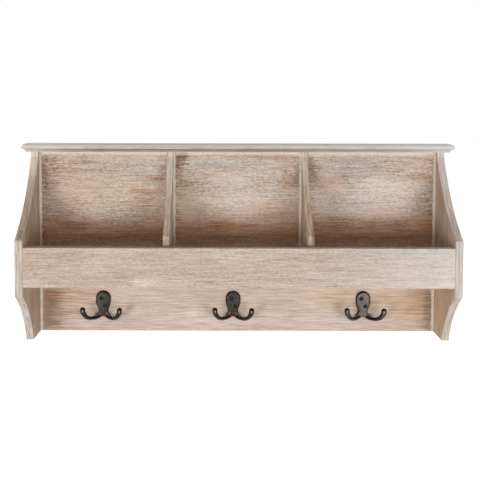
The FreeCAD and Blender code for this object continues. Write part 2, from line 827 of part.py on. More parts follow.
def fused(name, members):
    joint = doc.addObject("Part::MultiFuse", name)
    joint.Shapes = members
    return joint


def cone(name, first, last, length, x, y, z, inwards):
    """A cone along Y: towards the wall, or away from it."""
    shape = doc.addObject("Part::Cone", name)
    shape.Placement = Placement(Vector(), Rotation(Vector(1, 0, 0), -90 if inwards else 90))
    bind(shape, "Radius1", first)
    bind(shape, "Radius2", last)
    bind(shape, "Height", length)
    place(shape, x, y, z)
    return shape


def make_screw(name, shank, head, length, x, y, z, inwards):
    """A countersunk screw with a cross recess; y is the face of its head."""
    def along(distance):
        return y + distance if inwards else y - distance

    radius = shank / 2
    sink = head / 2 - radius
    direction = "Y" if inwards else "-Y"
    blank = fused(f"{name}_blank", [
        cone(f"{name}_head", head / 2, radius, sink, x, y, z, inwards),
        rod(f"{name}_shank", radius, length - s.screw_tip, x, y, z, direction),
        cone(f"{name}_point", radius, ZERO, s.screw_tip, x, along(length - s.screw_tip), z,
             inwards),
    ])
    depth = s.screw_recess_depth + s.overrun
    start = y - s.overrun if inwards else y - s.screw_recess_depth
    arms = []
    for number, (wide, high) in enumerate(
        [(s.screw_recess_length, s.screw_recess_width),
         (s.screw_recess_width, s.screw_recess_length)]
    ):
        arm = doc.addObject("Part::Box", f"{name}_recess_{number}")
        bind(arm, "Length", wide)
        bind(arm, "Width", depth)
        bind(arm, "Height", high)
        place(arm, x - wide / 2, start, z - high / 2)
        arms.append(arm)
    screw = doc.addObject("Part::Cut", name)
    screw.Base = blank
    screw.Tool = fused(f"{name}_cross", arms)
    return screw


def make_screw_group(name, places, shank, head, length, face, inwards):
    screws = [
        make_screw(f"{name}_{number}", shank, head, length, x, face, z, inwards)
        for number, (x, z) in enumerate(places, start=1)
    ]
    return group(name, screws)


def make_nail_group(name, places):
    """Nails driven from behind, their heads flush with the back panel."""
    nails = []
    for number, (x, z) in enumerate(places, start=1):
        head = rod(f"{name}_head_{number}", s.nail_head_diameter / 2, s.nail_head_height,
                   x, ZERO, z, "-Y")
        shank = rod(f"{name}_shank_{number}", s.nail_diameter / 2, s.nail_length,
                    x, ZERO, z, "-Y")
        nails.append(fused(f"{name}_{number}", [head, shank]))
    return group(name, nails)


def make_dowel_group(name, diameter, length, starts, direction):
    dowels = [
        rod(f"{name}_{number}", diameter / 2, length, x, y, z, direction)
        for number, (x, y, z) in enumerate(starts, start=1)
    ]
    return group(name, dowels)


def side_joint_starts(places):
    """Starts of the dowels that cross both side joints, from left to right."""
    left = -inner_half - s.dowel_bite
    right = inner_half + s.dowel_bite - s.dowel_length
    return [(x, y, z) for x in (left, right) for y, z in places]


def make_dowels():
    side_middle = inner_half + s.side_thickness / 2
    upright = s.side_height + s.dowel_bite - s.dowel_length
    top_starts = [(side_middle * turn, -s.side_top_depth / 2, upright) for turn in (-1, 1)]
    panel_starts = [(x, y, upright) for x, y in back_top_places]
    rail_starts = [(x, rail_back + s.dowel_length - s.dowel_bite, z) for x, z in shelf_places]
    pin_starts = [(x, y, shelf_top - s.pin_bite) for x, y in pin_places]
    dowel = (s.dowel_diameter, s.dowel_length)
    return [
        make_dowel_group("side_top_dowels", *dowel, top_starts, "Z"),
        make_dowel_group("back_top_dowels", *dowel, panel_starts, "Z"),
        make_dowel_group("side_back_dowels", *dowel, side_joint_starts(side_back_places), "X"),
        make_dowel_group("side_shelf_dowels", *dowel, side_joint_starts(side_shelf_places), "X"),
        make_dowel_group("side_rail_dowels", *dowel, side_joint_starts(side_rail_places), "X"),
        make_dowel_group("rail_shelf_dowels", *dowel, rail_starts, "-Y"),
        make_dowel_group("divider_pins", s.pin_diameter, s.pin_length, pin_starts, "Z"),
    ]


def make_nails():
    return [
        make_nail_group("shelf_nails", shelf_places),
        make_nail_group("divider_nails", divider_nail_places),
    ]


def make_screws():
    groups = [
        make_screw_group(f"hook_screws_{place_name}", hook_screw_places(turn),
                         s.hook_screw_diameter, s.hook_screw_head, s.hook_screw_length,
                         back_front - s.plate_thickness, True)
        for place_name, turn in HOOK_TURNS.items()
    ]
    groups += [
        make_screw_group(f"hanger_screws_{side}", hanger_screw_places(turn),
                         s.hanger_screw_diameter, s.hanger_screw_head, s.hanger_screw_length,
                         ZERO, False)
        for side, turn in SIDES.items()
    ]
    return groups


# The whole rack

pieces = [make_top_board(), make_back_panel(), make_front_rail(), make_bottom_shelf()]
pieces += [make_side_panel(f"{side}_side_panel", turn) for side, turn in SIDES.items()]
pieces += [make_divider(f"{side}_divider", turn) for side, turn in SIDES.items()]
pieces += [make_coat_hook(f"coat_hook_{place_name}", turn)
           for place_name, turn in HOOK_TURNS.items()]
pieces += [make_keyhole_hanger(f"keyhole_hanger_{side}", turn) for side, turn in SIDES.items()]
pieces += make_screws() + make_dowels() + make_nails()
doc.recompute()

for thing in doc.Objects:
    if "Invalid" in thing.State or "Error" in thing.State:
        raise ValueError(f"{thing.Label} failed: {thing.State}")
for piece in pieces:
    if piece.Shape.isNull() or not piece.Shape.isValid():
        raise ValueError(f"{piece.Label} has no valid shape")
for piece in pieces:
    piece.Shape.exportStep(f"parts/{piece.Label}.step")
    solids = len(piece.Shape.Solids)
    print(f"{piece.Label}: {solids} solid(s), {piece.Shape.Volume:.1f} mm3")
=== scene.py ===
import math

import bmesh
import bpy
from mathutils import Matrix, Vector, noise


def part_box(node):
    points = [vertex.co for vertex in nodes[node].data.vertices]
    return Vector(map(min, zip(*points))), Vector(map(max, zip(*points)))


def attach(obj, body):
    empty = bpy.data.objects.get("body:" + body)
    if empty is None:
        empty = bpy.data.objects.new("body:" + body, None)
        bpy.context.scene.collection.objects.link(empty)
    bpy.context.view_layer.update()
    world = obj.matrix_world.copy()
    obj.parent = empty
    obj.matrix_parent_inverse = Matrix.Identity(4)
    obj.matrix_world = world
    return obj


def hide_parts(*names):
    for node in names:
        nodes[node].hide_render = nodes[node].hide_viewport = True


# Looks of the wall storage rack: lime-washed boards, cast coat hooks, wash pooled in the corners.
# The frame is in metres, with the wall at Y = 0, the room at -Y and +Z up.
# Materials and the shape of a hook are worked out in millimetres.

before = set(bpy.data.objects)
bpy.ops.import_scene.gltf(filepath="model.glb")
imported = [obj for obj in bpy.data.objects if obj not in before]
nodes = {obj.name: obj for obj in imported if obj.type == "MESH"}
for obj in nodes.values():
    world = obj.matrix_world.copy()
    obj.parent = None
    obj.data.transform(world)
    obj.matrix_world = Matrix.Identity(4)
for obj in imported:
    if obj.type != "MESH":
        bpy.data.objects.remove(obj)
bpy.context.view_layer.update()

MM = 0.001

# Places taken from the boards themselves
panel_low, panel_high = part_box("back_panel")
shelf_low, shelf_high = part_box("bottom_shelf")
left_divider_low, left_divider_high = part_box("left_divider")
right_divider_low, right_divider_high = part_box("right_divider")
PANEL_FACE = panel_low.y
TOP_BOARD_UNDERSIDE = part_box("top_board")[0].z
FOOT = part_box("left_side_panel")[0].z
CUBBY_PITCH = (right_divider_low.x - left_divider_low.x) / MM
# The upright corners of the cubbies from left to right, and the way from each into its cubby
CORNERS = (
    (panel_low.x, 1), (left_divider_low.x, -1),
    (left_divider_high.x, 1), (right_divider_low.x, -1),
    (right_divider_high.x, 1), (panel_high.x, -1),
)


# Camera, light and floor

# The camera's turns are in degrees; its place, lens and sensor are written in millimetres
CAMERA_PLACE = Vector((-24.7, -1298.9, 115.7)) * MM
CAMERA_YAW = -0.17
CAMERA_PITCH = 3.24
CAMERA_ROLL = 0.11
CAMERA_LENS = 64.49
CAMERA_SENSOR = 36
CAMERA_SHIFT = (0.045, -0.1875)
# Each soft light's name, place, width, height and watts; they all face the middle of the rack
LIGHT_AIM = (0, 0, -0.1)
SOFTBOXES = (
    ("left_softbox", (-0.95, -1.55, -0.33), 0.6, 0.54, 12.4),
    ("right_softbox", (0.8, -1.6, -0.33), 0.86, 0.64, 12),
    ("rear_softbox", (0, 1.7, 1.2), 2, 1.2, 11),
)
# Strength of the light from all round: from the level and below, and from straight above
SURROUND_LOW = 0.185
SURROUND_HIGH = 0.415
WHITE = (1, 1, 1, 1)
FLOOR_HEIGHT = -1.45
FLOOR_SIZE = 30
FLOOR_COLOUR = (0.86, 0.86, 0.86, 1)
FLOOR_ROUGHNESS = 0.9
# What the floor adds to its own colour where the camera or a gloss sees it
FLOOR_GLOW = 0.82


def add_camera():
    """The camera at the photograph's viewing angle."""
    data = bpy.data.cameras.new("camera")
    data.sensor_width = CAMERA_SENSOR
    data.lens = CAMERA_LENS
    data.shift_x, data.shift_y = CAMERA_SHIFT
    camera = bpy.data.objects.new("camera", data)
    bpy.context.scene.collection.objects.link(camera)
    turn = Matrix.Rotation(-math.radians(CAMERA_YAW), 4, "Z")
    tilt = Matrix.Rotation(math.radians(90 - CAMERA_PITCH), 4, "X")
    roll = Matrix.Rotation(math.radians(CAMERA_ROLL), 4, "Z")
    camera.matrix_world = Matrix.Translation(CAMERA_PLACE) @ turn @ tilt @ roll
    bpy.context.scene.camera = camera


def add_softbox(name, place, width, height, watts):
    """A soft studio light that faces the rack."""
    data = bpy.data.lights.new(name, "AREA")
    data.shape = "RECTANGLE"
    data.size = width
    data.size_y = height
    data.energy = watts
    lamp = bpy.data.objects.new(name, data)
    bpy.context.scene.collection.objects.link(lamp)
    lamp.location = place
    lamp.rotation_euler = (Vector(LIGHT_AIM) - Vector(place)).to_track_quat("-Z", "Y").to_euler()


def seen_directly(tree):
    """1 for a ray that the camera, a gloss or glass sends out, and 0 for one that only lights."""
    path = tree.nodes.new("ShaderNodeLightPath")
    seen = path.outputs["Is Camera Ray"]
    for kind in ("Glossy", "Transmission"):
        join = tree.nodes.new("ShaderNodeMath")
        join.operation = "MAXIMUM"
        tree.links.new(seen, join.inputs[0])
        tree.links.new(path.outputs[f"Is {kind} Ray"], join.inputs[1])
        seen = join.outputs[0]
    return seen


def add_surround():
    """Even light from all sides, more of it from above; white where the camera or a gloss sees it."""
    world = bpy.data.worlds.new("surround")
    bpy.context.scene.world = world
    world.use_nodes = True
    tree = world.node_tree
    background = tree.nodes["Background"]
    background.inputs["Color"].default_value = WHITE
    direction = tree.nodes.new("ShaderNodeTexCoord")
    split = tree.nodes.new("ShaderNodeSeparateXYZ")
    tree.links.new(direction.outputs["Generated"], split.inputs[0])
    sky = tree.nodes.new("ShaderNodeMapRange")
    sky.inputs["To Min"].default_value = SURROUND_LOW
    sky.inputs["To Max"].default_value = SURROUND_HIGH
    tree.links.new(split.outputs["Z"], sky.inputs["Value"])
    strength = tree.nodes.new("ShaderNodeMath")
    strength.operation = "MAXIMUM"
    tree.links.new(sky.outputs[0], strength.inputs[0])
    tree.links.new(seen_directly(tree), strength.inputs[1])
    tree.links.new(strength.outputs[0], background.inputs["Strength"])


def add_floor():
    """A plain white floor, well below, as under a rack at its height on a wall."""
    bpy.ops.mesh.primitive_plane_add(size=FLOOR_SIZE, location=(0, 0, FLOOR_HEIGHT))
    floor = bpy.context.object
    floor.name = "floor"
    material = bpy.data.materials.new("floor")
    material.use_nodes = True
    tree = material.node_tree
    surface = tree.nodes["Principled BSDF"]
    surface.inputs["Base Color"].default_value = FLOOR_COLOUR
    surface.inputs["Roughness"].default_value = FLOOR_ROUGHNESS
    surface.inputs["Emission Color"].default_value = WHITE
    glow = tree.nodes.new("ShaderNodeMath")
    glow.operation = "MULTIPLY"
    glow.inputs[1].default_value = FLOOR_GLOW
    tree.links.new(seen_directly(tree), glow.inputs[0])
    tree.links.new(glow.outputs[0], surface.inputs["Emission Strength"])
    floor.data.materials.append(material)


# Formulas for materials

# Raw noise keeps near a half, and this gain spreads it over about -1 to 1
NOISE_GAIN = 3.3
# How far each seed moves the noise along X, Y and Z
SEED_SHIFT = (17.3, 5.1, 9.7)
# A face counts as turned sideways from not at all to wholly as its normal's X goes from low to high
SIDE_TURN = (0.35, 0.75)
# Share of their front-to-back place that the cut edges of an upright keep in the grain
EDGE_GRAIN = 0.07
# Numbers of the Mix node's sockets when it mixes colours
MIX_SHARE, MIX_FIRST, MIX_SECOND = 0, 6, 7
MIX_RESULT = 2
# The shader's sockets that a material sets to one plain number
FIXED_SOCKETS = {"metallic": "Metallic", "specular": "Specular IOR Level"}


def srgb(red, green, blue):
    """A colour written as it looks, from 0 to 255."""
    def linear(value):
        share = value / 255
        return share / 12.92 if share <= 0.04045 else ((share + 0.055) / 1.055) ** 2.4
    return (linear(red), linear(green), linear(blue), 1)


class Wire:
    """A number or colour that runs through a material, with plain arithmetic."""

    def __init__(self, graph, socket):
        self.graph = graph
        self.socket = socket

    def __add__(self, other):
        return self.graph.math("ADD", self, other)

    def __sub__(self, other):
        return self.graph.math("SUBTRACT", self, other)

    def __rsub__(self, other):
        return self.graph.math("SUBTRACT", other, self)

    def __mul__(self, other):
        return self.graph.math("MULTIPLY", self, other)

    def clamped(self):
        """The number kept between 0 and 1."""
        return self.graph.add("Clamp", {"Value": self})

    def size(self):
        """The number without its sign."""
        return self.graph.math("ABSOLUTE", self)

    def most(self, other):
        """The larger of the two."""
        return self.graph.math("MAXIMUM", self, other)

    def rises(self, low, high):
        """0 below low, 1 above high and smooth between them."""
        inputs = {"Value": self, "From Min": low, "From Max": high}
        return self.graph.add("MapRange", inputs, interpolation_type="SMOOTHSTEP")

    def falls(self, low, high):
        """1 below low, 0 above high and smooth between them."""
        return 1 - self.rises(low, high)


class Graph:
    """A material whose nodes are made by short formulas; places are in millimetres."""

    def __init__(self, name):
        self.material = bpy.data.materials.new(name)
        self.material.use_nodes = True
        self.tree = self.material.node_tree
        self.tree.nodes.clear()
        spot = self.tree.nodes.new("ShaderNodeTexCoord")
        self.place = self.vector("SCALE", spot.outputs["Object"], scale=1 / MM)
        self.x, self.y, self.z = (self.part(self.place, axis) for axis in "XYZ")
        self.nx, self.nz = (self.part(spot.outputs["Normal"], axis) for axis in "XZ")

    def follow_edges(self):
        """Grain along the cut edges of an upright board, which it would else cross where they slope."""
        face = self.nx.size().rises(*SIDE_TURN)
        depth = self.y * (face * (1 - EDGE_GRAIN) + EDGE_GRAIN)
        self.place = self.add("CombineXYZ", {"X": self.x, "Y": depth, "Z": self.z})

    def feed(self, socket, value):
        """Leads a wire or a socket into a socket, or sets a plain value on it."""
        if isinstance(value, Wire):
            value = value.socket
        if isinstance(value, bpy.types.NodeSocket):
            self.tree.links.new(value, socket)
        else:
            socket.default_value = value

    def add(self, kind, inputs, output=0, **settings):
        """A new node, its inputs fed by name or number, and the wire out of one of its outputs."""
        node = self.tree.nodes.new("ShaderNode" + kind)
        for name, value in settings.items():
            setattr(node, name, value)
        for name, value in inputs.items():
            self.feed(node.inputs[name], value)
        return Wire(self, node.outputs[output])

    def part(self, vector, axis):
        """A vector's X, Y or Z."""
        return self.add("SeparateXYZ", {0: vector}, output=axis)

    def math(self, operation, first, second=None):
        inputs = {0: first} if second is None else {0: first, 1: second}
        return self.add("Math", inputs, operation=operation)

    def vector(self, operation, first, second=None, scale=None):
        inputs = {0: first}
        if second is not None:
            inputs[1] = second
        if scale is not None:
            inputs["Scale"] = scale
        return self.add("VectorMath", inputs, operation=operation)

    def mix(self, share, first, second, blend="MIX"):
        """From the first colour to the second, by a share from 0 to 1."""
        node = self.tree.nodes.new("ShaderNodeMix")
        node.data_type = "RGBA"
        node.blend_type = blend
        self.feed(node.inputs[MIX_SHARE], share)
        self.feed(node.inputs[MIX_FIRST], first)
        self.feed(node.inputs[MIX_SECOND], second)
        return Wire(self, node.outputs[MIX_RESULT])

    def noise(self, spread, detail=2, rough=0.55, seed=0, distort=0):
        """Soft noise about 0, mostly from -1 to 1, with one cell per spread in millimetres."""
        if not hasattr(spread, "__len__"):
            spread = (spread, spread, spread)
        stretched = self.vector("MULTIPLY", self.place, [1 / length for length in spread])
        moved = self.vector("ADD", stretched, [seed * shift for shift in SEED_SHIFT])
        field = self.add("TexNoise", {"Vector": moved, "Scale": 1, "Detail": detail,
                                      "Roughness": rough, "Distortion": distort})
        return (field - 0.5) * NOISE_GAIN

    def finish(self, colour, roughness, height, relief, **fixed):
        """The finished material: one shader, raised by height times relief, in millimetres."""
        shader = self.tree.nodes.new("ShaderNodeBsdfPrincipled")
        self.feed(shader.inputs["Base Color"], colour)
        self.feed(shader.inputs["Roughness"], roughness)
        for name, value in fixed.items():
            shader.inputs[FIXED_SOCKETS[name]].default_value = value
        bump = self.add("Bump", {"Height": height, "Distance": relief * MM, "Strength": 1},
                        output="Normal")
        self.feed(shader.inputs["Normal"], bump)
        output = self.tree.nodes.new("ShaderNodeOutputMaterial")
        self.tree.links.new(shader.outputs[0], output.inputs["Surface"])
        return self.material


# Lime-washed wood

UNDER = srgb(128, 92, 64)
WASH = srgb(233, 217, 203)
PINK = srgb(226, 192, 175)
CREAM = srgb(236, 222, 204)
CHALK = srgb(233, 228, 221)
PORE = srgb(112, 86, 66)

# Stains and painted shade let the wash and the grain show through: white would darken nothing at all
RUST_STAIN = srgb(219, 165, 124)
TAN_STAIN = srgb(249, 234, 208)
GREY_STAIN = srgb(228, 240, 245)
DEEP_SHADE_AND_STAIN = srgb(250, 222, 196)
PAINTED_SHADE = srgb(190, 168, 150)
GREY_SHADE_AND_STAIN = srgb(218, 211, 205)
UNDER_SHADE = srgb(216, 218, 217)

# Marks of the brush and the wood: how long along the board, and how wide
HAIRS = (24, 1.5)
LINES = (85, 2.2)
BANDS = (150, 9)
CLOUDS = (75, 32)
DASHES = (4, 1.5)
TONES = (24, 5)
PORES = (9, 1.1)

PLAIN_COVER = 0.64
WOOD_RELIEF = 0.12
WOOD_SPECULAR = 0.3
# How far hairs and lines push a stain's edge along the board, and lines push it across
HAIR_PUSH = 12
LINE_PUSH = 10
LINE_LIFT = 0.8
# A patch is whole up to the first share of its half size, and gone past the second
PATCH_FADE = (0.5, 1.4)


class Coat:
    """A brushed wash over brown wood: how thick it lies, its tints, and its stains and painted shade.

    Shares are of a whole coat, from 0, bare wood, to 1, a full wash. fine is how strong the grain
    is, and patchy how strong the slow changes along the board are.
    """

    def __init__(self, graph, along, seed, cover=PLAIN_COVER, fine=1.0, patchy=1.0):
        def marks(size, number, **look):
            length, width = size
            spread = [width, width, width]
            spread["XYZ".index(along)] = length
            return graph.noise(spread, seed=seed + number, **look)

        self.graph = graph
        self.hairs = marks(HAIRS, 0)
        self.lines = marks(LINES, 1, detail=3, rough=0.6)
        self.bands = marks(BANDS, 2, distort=0.3)
        self.clouds = marks(CLOUDS, 3)
        self.dashes = marks(DASHES, 4, rough=0.6, distort=0.6)
        self.tones = marks(TONES, 6, detail=3, rough=0.6)
        self.pores = marks(PORES, 7, detail=1).rises(0.55, 1)
        # How the marks add up: the streaks in tints and stains, and the thickness of the wash
        self.streaks = (self.hairs * 0.5 + self.lines * 0.4 + self.dashes * 0.3 + 0.5).clamped()
        texture = self.hairs * 0.26 + self.lines * 0.2 + self.dashes * 0.07
        self.level = texture * fine + self.bands * 0.05 * patchy + self.clouds * 0.07 * patchy + cover
        self.tints = [(self.tones.rises(0.1, 1.3) * 0.5, PINK)]
        self.stains = [(self.tones.falls(-1.2, -0.2) * 0.8, GREY_STAIN)]

    def thicken(self, share):
        """More wash, or less where the share is under zero."""
        self.level = self.level + share

    def tint(self, share, colour):
        """Another wash over this one, most where the brush left more."""
        self.tints.append((share * (self.streaks * 0.6 + 0.7), colour))

    def stain(self, share, colour):
        """A stain in the wood, which some colours use as painted shade; least where the wash lies thick."""
        self.stains.append((share * (1.3 - self.streaks * 0.6), colour))

    def colour(self):
        """Wash over the bare wood, then the tints, the stains and painted shade, and the dark pores."""
        mixed = self.graph.mix(self.level.clamped(), UNDER, WASH)
        for share, colour in self.tints:
            mixed = self.graph.mix(share.clamped(), mixed, colour)
        for share, colour in self.stains:
            mixed = self.graph.mix(share.clamped(), mixed, colour, blend="MULTIPLY")
        return self.graph.mix((self.pores * 0.3).clamped(), mixed, PORE)

    def roughness(self):
        return (0.68 - self.level * 0.08 + self.pores * 0.15).clamped()

    def height(self):
        return self.hairs * 0.35 + self.lines * 0.3 + self.dashes * 0.2 - self.pores * 0.8


def wood_material(name, along, seed, dress=None, sloped_edges=False, **coat_sizes):
    """The coat of one board: its grain runs along an axis, and dress adds that board's own marks."""
    graph = Graph(name)
    if sloped_edges:
        graph.follow_edges()
    coat = Coat(graph, along, seed, **coat_sizes)
    if dress is not None:
        dress(graph, coat)
    return graph.finish(coat.colour(), coat.roughness(), coat.height(), relief=WOOD_RELIEF,
                        specular=WOOD_SPECULAR)


def brushed_place(graph, coat):
    """The place on the board, pushed about by the streaks, so that stains have brushed edges."""
    along = coat.hairs * HAIR_PUSH + coat.lines * LINE_PUSH
    push = graph.add("CombineXYZ", {"X": along, "Z": coat.lines * LINE_LIFT})
    return graph.vector("ADD", graph.place, push)


def spots(graph, place, patches):
    """The summed shares of oval patches: across, up, half their length, half their height, share."""
    total = None
    for across, up, half_length, half_height, share in patches:
        scale = (1 / half_length, 0, 1 / half_height)
        offset = (-across / half_length, 0, -up / half_height)
        inputs = {0: place, 1: scale, 2: offset}
        reach = graph.add("VectorMath", inputs, operation="MULTIPLY_ADD")
        away = graph.add("VectorMath", {0: reach}, output="Value", operation="LENGTH")
        patch = away.falls(*PATCH_FADE) * share
        total = patch if total is None else total + patch
    return total


# Patches on the face of the back panel: across, up, half length, half height, share

THIN_PLACES = (
    # Left cubby
    (-281, 12, 15, 32, 0.24), (-272, -47, 24, 19, 0.12), (-261, 19, 28, 15, 0.08),
    (-137, -54, 29, 25, 0.04), (-215, -70, 56, 9, 0.12), (-247, -71, 20, 8, 0.14),
    (-200, 14, 34, 8, 0.07), (-195, -87, 44, 7, 0.1),
    # Centre cubby
    (-85, 26, 11, 15, 0.46), (-86, 35, 12, 5, 0.32), (-69, -7, 30, 18, 0.12), (-80, -49, 19, 24, 0.06),
    (77, -4, 17, 11, 0.3), (78, 14, 14, 7, 0.1), (76, -54, 19, 14, 0.06), (-14, -88, 24, 6, 0.08),
    # Right cubby
    (112, 16, 9, 26, 0.24), (154, -2, 16, 9, 0.24), (130, -5, 18, 18, 0.04),
    (280, -49, 16, 30, 0.14), (175, -70, 46, 8, 0.08), (248, -66, 16, 8, 0.1),
    (246, -72, 18, 8, 0.1), (200, -88, 44, 6, 0.08), (184, -88, 20, 6, 0.06),
    # Under the rail
    (-280, -206, 20, 26, 0.26), (-262, -222, 30, 8, 0.1), (-250, -205, 20, 14, 0.08),
    (284, -198, 13, 34, 0.08),
)
# Pale patches; those beside the dividers, about 76 and 126 mm either side of the middle, are painted light
# that lifts the dividers' shade
PALE_PLACES = (
    # Left cubby
    (-203, -22, 50, 26, 0.05), (-126, -28, 15, 18, 0.2), (-215, -46, 20, 16, 0.06),
    (-127, -69, 14, 9, 0.16), (-215, -4, 22, 8, 0.1),
    # Centre cubby
    (3, -39, 56, 22, 0.15), (-10, 0, 40, 14, 0.1), (-10, 26, 66, 8, 0.1), (-8, -6, 32, 9, 0.14),
    (-76, -42, 16, 28, 0.28), (82, -22, 13, 18, 0.2), (55, 26, 14, 9, 0.1),
    (-8, -68, 28, 8, 0.08), (-78, -58, 16, 10, 0.12), (78, -64, 14, 12, 0.12),
    # Right cubby
    (210, -12, 33, 12, 0.26), (200, -14, 15, 7, 0.1), (220, -39, 40, 12, 0.12),
    (208, 2, 20, 5, 0.1), (187, -25, 26, 10, 0.17), (248, -18, 22, 16, 0.16),
    (175, -53, 30, 10, 0.12), (126, -38, 15, 24, 0.22), (153, -48, 18, 12, 0.12),
    (184, -54, 20, 12, 0.12), (275, -71, 14, 9, 0.14),
    # Under the rail
    (100, -215, 90, 16, 0.06), (-60, -215, 80, 18, 0.06), (120, -173, 36, 6, 0.12),
)
PINK_PLACES = (
    (-154, 29, 44, 6, 0.35), (-235, -12, 40, 16, 0.3), (-30, 2, 24, 8, 0.35),
    (40, -50, 60, 12, 0.25), (140, -8, 22, 16, 0.35), (215, -50, 40, 9, 0.3),
)
GREY_PLACES = (
    (-140, 12, 40, 12, 0.3), (-215, -8, 22, 10, 0.4), (-16, 20, 60, 9, 0.5), (-8, -8, 36, 10, 0.35),
    (75, -28, 22, 8, 0.3), (167, 17, 50, 17, 0.6), (184, -30, 30, 22, 0.4),
)
TAN_PLACES = (
    # Left cubby
    (-200, -20, 60, 30, 0.3), (-255, 10, 30, 9, 0.35), (-245, -42, 22, 9, 0.35),
    (-132, -34, 16, 20, 0.2), (-137, -40, 26, 22, 0.25),
    # Centre cubby
    (89, 19, 6, 12, 0.5), (-45, -46, 26, 13, 0.4), (45, -48, 26, 13, 0.35),
    (78, -20, 14, 26, 0.3), (-78, -26, 16, 30, 0.45),
    # Right cubby
    (285, -60, 14, 30, 0.2),
    # Under the rail
    (195, -184, 100, 17, 0.5), (255, -212, 22, 18, 0.35), (272, -192, 24, 34, 0.45),
    (-268, -192, 40, 20, 0.4), (-100, -178, 120, 6, 0.15),
)
RUST_PLACES = (
    # Left cubby
    (-127, -1, 19, 4.5, 0.5), (-134, -19, 26, 4.2, 0.4), (-112, 20, 6, 18, 0.3),
    (-235, 24, 18, 6, 0.25),
    # Centre cubby
    (60, 31, 36, 5, 0.38), (80, -12, 16, 4, 0.42), (-14, -70, 33, 7.5, 0.5),
    # Right cubby
    (275, 4, 22, 5, 0.45), (287, 30, 8, 11, 0.4), (130, -3, 14, 8, 0.2),
    # Under the rail
    (-281, -177, 18, 11, 0.6), (-236, -176, 34, 16, 0.24),
)
# Painted shadow in the lower right corner, beside the right side panel
SHADOW_PLACES = (
    (290, -196, 8, 34, 0.8),
)
# How much thinner and darker the wash is down each corner of the cubbies, from left to right, and the size
# of its ticks
CORNER_DARKENING = (0.42, 0.06, 0.24, 0.1, 0.24, 0.22)
CORNER_TICKS = (9, 9, 2.1)

# Patches on the front rail
RAIL_DABS = (
    (-286, -132, 17, 4.5, 0.08), (-130, -133, 18, 5, 0.12),
)
RAIL_THIN_PLACES = (
    (-268, -100, 50, 14, 0.1), (-240, -126, 70, 12, 0.08), (-225, -98, 22, 12, 0.09),
    (-120, -110, 60, 16, 0.05), (-35, -104, 20, 8, 0.08), (40, -112, 60, 18, 0.03),
    (220, -100, 120, 12, 0.06), (250, -93, 60, 6, 0.08),
)


# Dresses of the boards: places are in millimetres, other numbers are shares of a coat or a colour

def dress_panel(graph, coat):
    """Patches, darker ticks down the corners, a pale strip under the top board, and painted shade with warm
    brown wood low in the cubbies.
    """
    # All this is on the face toward the room, and the back stays plain
    front = graph.y.falls(-9, -4)
    place = brushed_place(graph, coat)
    # More wash in the pale patches, part of it painted light beside the dividers, and less in the thin ones
    coat.thicken((spots(graph, place, PALE_PLACES) - spots(graph, place, THIN_PLACES)) * front)
    coat.tint(spots(graph, place, PINK_PLACES) * front, PINK)
    coat.stain(spots(graph, place, GREY_PLACES) * front, GREY_STAIN)
    coat.stain(spots(graph, place, TAN_PLACES) * front, TAN_STAIN)
    coat.stain(spots(graph, place, RUST_PLACES) * front, RUST_STAIN)
    # Painted shadow in the lower right corner
    coat.stain(spots(graph, graph.place, SHADOW_PLACES) * front, GREY_SHADE_AND_STAIN)

    # Thinner, darker wash in short ticks down the corners, above what the rail hides
    above = graph.z.rises(-105, -95) * front
    ticks = graph.noise(CORNER_TICKS, seed=131).rises(-0.5, 0.7)
    for (corner, way), share in zip(CORNERS, CORNER_DARKENING):
        away = (graph.x - corner / MM) * way
        near = away.falls(3, 16) * away.rises(-4, -3)
        coat.thicken(near * ticks * above * -share)

    # The strip right under the top board, chalkier to the right
    strip = graph.z.rises(33, 38) * front
    right = graph.x.rises(0, 300)
    coat.thicken(strip * 0.25)
    coat.tint(strip * 0.5, CREAM)
    coat.tint(strip * (right * 0.25 + 0.25), CHALK)

    # Painted shade with warm brown wood low in the cubbies, shaped as the rail and the dividers shade them:
    # it lies higher toward the sides of each; aside runs from 0 in the middle of a cubby to 1 at its sides
    aside = graph.math("PINGPONG", graph.x, CUBBY_PITCH / 2) * (2 / CUBBY_PITCH)
    depth = graph.z - aside * aside * 12 + coat.clouds * 5 + coat.bands * 2
    deep = depth.falls(-88, -48) * above
    cubbies = graph.z.rises(-145, -135) * front
    coat.thicken(coat.dashes * cubbies * (0.38 - deep * 0.2))
    coat.stain(deep * 1.25, DEEP_SHADE_AND_STAIN)
    coat.thicken(depth.falls(-80, -56) * above * aside.falls(0.4, 1) * -0.05)


def dress_rail(graph, coat):
    """Two dabs and some thin places, a thin but chalky right end, a pinker left, and painted shade on the
    top edge.
    """
    place = brushed_place(graph, coat)
    dabs = spots(graph, place, RAIL_DABS)
    upper_left = graph.z.rises(-100, -90) * graph.x.falls(60, 140)
    right_end = graph.x.rises(60, 330)
    shaded_top_edge = graph.nz.rises(0.3, 0.7)
    coat.thicken(coat.dashes * 0.2 + upper_left * 0.04 - 0.08)
    coat.thicken(dabs - spots(graph, place, RAIL_THIN_PLACES))
    coat.thicken(right_end * -0.16)
    coat.tint(dabs, CHALK)
    coat.tint(right_end * 0.6, CHALK)
    coat.tint(graph.x.falls(-320, -60) * 0.1, PINK)
    # Painted shade on the rail's top face
    coat.stain(shaded_top_edge * 0.4, PAINTED_SHADE)


def dress_top(graph, coat):
    """Chalky at both ends, chalkier above, partly its colour and partly a painted highlight on the upper
    round, and painted shade under its front edge.
    """
    above = graph.nz.rises(-0.1, 0.5)
    under = graph.nz.falls(-0.45, -0.05)
    ends = graph.x.size().rises(200, 320)
    right = graph.x.rises(0, 300)
    # Painted highlight: more wash on the upper round; painted shade: thinner wash underneath
    coat.thicken(ends * 0.1 + right * 0.07 + above * 0.17 - under * 0.16)
    coat.tint(ends * 0.4 + right * 0.3 + above * 0.3 + 0.1, CHALK)
    # Painted shade under the front edge
    coat.stain(under * (1 - ends * 0.6), UNDER_SHADE)


